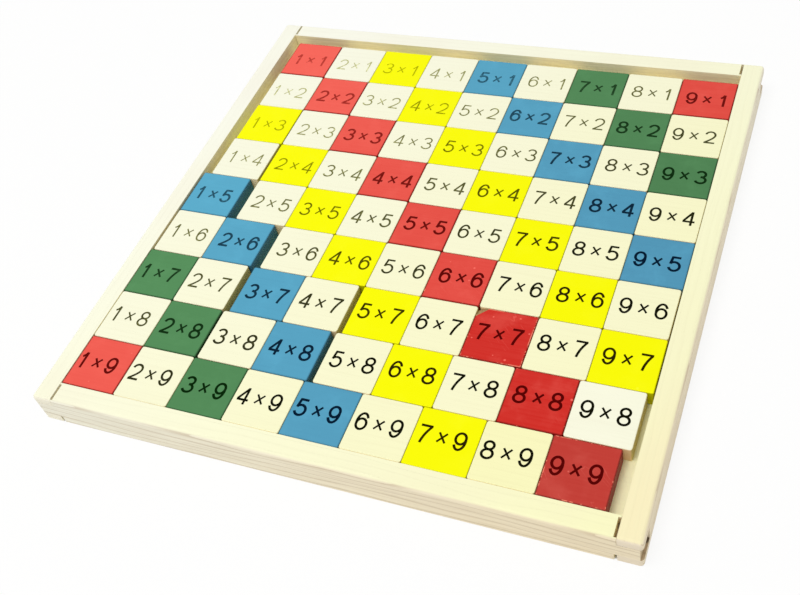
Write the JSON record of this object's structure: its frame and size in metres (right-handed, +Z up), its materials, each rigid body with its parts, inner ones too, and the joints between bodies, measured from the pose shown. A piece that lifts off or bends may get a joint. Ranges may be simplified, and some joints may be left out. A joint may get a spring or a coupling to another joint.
{
  "type": "multiplication tile board",
  "caption": "Shallow square wooden tray of jointed rails, filled with loose square wooden tiles that carry multiplication problems in a striped colour pattern.",
  "frame": {"origin": "on the table, under the middle of the tray", "axes": "+X along a row of tiles to the right, +Y from the front rail to the back rail, +Z up"},
  "size_m": [0.199, 0.199, 0.012],
  "materials": {
    "rail_wood": "sanded bare softwood",
    "panel_wood": "bare thin plywood",
    "plain_tile_wood": "sanded bare wood",
    "red_paint": "thin satin paint on wood",
    "yellow_paint": "thin satin paint on wood",
    "blue_paint": "thin satin paint on wood",
    "green_paint": "thin satin paint on wood",
    "number_ink": "dark ink printed on wood"
  },
  "bodies": {
    "root": {"back_rail": "rail_wood", "base_panel": "panel_wood", "blue_tile_1x5": "blue_paint", "blue_tile_2x6": "blue_paint", "blue_tile_3x7": "blue_paint", "blue_tile_4x8": "blue_paint", "blue_tile_5x1": "blue_paint", "blue_tile_5x9": "blue_paint", "blue_tile_6x2": "blue_paint", "blue_tile_7x3": "blue_paint", "blue_tile_8x4": "blue_paint", "blue_tile_9x5": "blue_paint", "front_rail": "rail_wood", "green_tile_1x7": "green_paint", "green_tile_2x8": "green_paint", "green_tile_3x9": "green_paint", "green_tile_7x1": "green_paint", "green_tile_8x2": "green_paint", "green_tile_9x3": "green_paint", "left_rail": "rail_wood", "plain_tiles_row_1": "plain_tile_wood", "plain_tiles_row_2": "plain_tile_wood", "plain_tiles_row_3": "plain_tile_wood", "plain_tiles_row_4": "plain_tile_wood", "plain_tiles_row_5": "plain_tile_wood", "plain_tiles_row_6": "plain_tile_wood", "plain_tiles_row_7": "plain_tile_wood", "plain_tiles_row_8": "plain_tile_wood", "plain_tiles_row_9": "plain_tile_wood", "red_tile_1x1": "red_paint", "red_tile_1x9": "red_paint", "red_tile_2x2": "red_paint", "red_tile_3x3": "red_paint", "red_tile_4x4": "red_paint", "red_tile_5x5": "red_paint", "red_tile_6x6": "red_paint", "red_tile_7x7": "red_paint", "red_tile_8x8": "red_paint", "red_tile_9x1": "red_paint", "red_tile_9x9": "red_paint", "right_rail": "rail_wood", "yellow_tile_1x3": "yellow_paint", "yellow_tile_2x4": "yellow_paint", "yellow_tile_3x1": "yellow_paint", "yellow_tile_3x5": "yellow_paint", "yellow_tile_4x2": "yellow_paint", "yellow_tile_4x6": "yellow_paint", "yellow_tile_5x3": "yellow_paint", "yellow_tile_5x7": "yellow_paint", "yellow_tile_6x4": "yellow_paint", "yellow_tile_6x8": "yellow_paint", "yellow_tile_7x5": "yellow_paint", "yellow_tile_7x9": "yellow_paint", "yellow_tile_8x6": "yellow_paint", "yellow_tile_9x7": "yellow_paint"}
  },
  "joints": []
}
